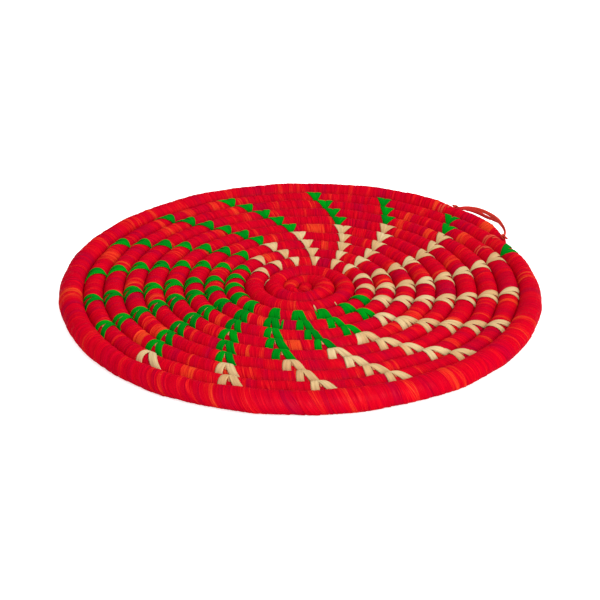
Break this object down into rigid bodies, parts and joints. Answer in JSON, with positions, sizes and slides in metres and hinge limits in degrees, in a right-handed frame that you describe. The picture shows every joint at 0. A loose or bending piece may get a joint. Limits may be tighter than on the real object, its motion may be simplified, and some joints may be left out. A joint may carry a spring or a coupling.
{
  "type": "wall basket",
  "caption": "Flat coiled disc of raffia-wrapped grass with swirling stitched rays and a loop at the rim, hung on a wall as decoration.",
  "frame": {"origin": "under the middle of the disc's bounding box, on the plane of its back", "axes": "+Z out of the decorated face, -Z towards the wall behind it; +X to the right and +Y to the top of the picture, with the loop at the upper right"},
  "size_m": [0.2906, 0.2966, 0.0133],
  "materials": {
    "grass": "matte",
    "red_raffia": "matte",
    "green_raffia": "matte",
    "natural_raffia": "matte",
    "orange_raffia": "matte"
  },
  "bodies": {
    "basket": {"grass_core": "grass", "green_stitches_ray_01": "green_raffia", "green_stitches_ray_02": "green_raffia", "green_stitches_ray_03": "green_raffia", "green_stitches_ray_04": "green_raffia", "green_stitches_ray_05": "green_raffia", "green_stitches_ray_06": "green_raffia", "green_stitches_ray_07": "green_raffia", "green_stitches_ray_08": "green_raffia", "green_stitches_ray_09": "green_raffia", "green_stitches_ray_10": "green_raffia", "green_stitches_ray_11": "green_raffia", "green_stitches_ray_12": "green_raffia", "green_stitches_ray_13": "green_raffia", "green_stitches_ray_14": "green_raffia", "green_stitches_ray_15": "green_raffia", "green_stitches_ray_16": "green_raffia", "green_stitches_ray_17": "green_raffia", "lower_lashing": "orange_raffia", "natural_stitches_ray_01": "natural_raffia", "natural_stitches_ray_02": "natural_raffia", "natural_stitches_ray_03": "natural_raffia", "natural_stitches_ray_04": "natural_raffia", "natural_stitches_ray_05": "natural_raffia", "natural_stitches_ray_06": "natural_raffia", "natural_stitches_ray_07": "natural_raffia", "natural_stitches_ray_08": "natural_raffia", "natural_stitches_ray_09": "natural_raffia", "natural_stitches_ray_10": "natural_raffia", "natural_stitches_ray_11": "natural_raffia", "natural_stitches_ray_12": "natural_raffia", "natural_stitches_ray_13": "natural_raffia", "natural_stitches_ray_14": "natural_raffia", "natural_stitches_ray_15": "natural_raffia", "red_wrap": "red_raffia", "upper_lashing": "orange_raffia"},
    "loop": {"hanging_loop": "orange_raffia"}
  },
  "joints": [
    {"name": "loop_swing", "type": "hinge", "parent": "basket", "child": "loop", "pos_m": [0.10349, 0.11232, 0.01065], "axis": [0.5194, -0.8545, 0], "range_deg": [-20, 115]}
  ]
}
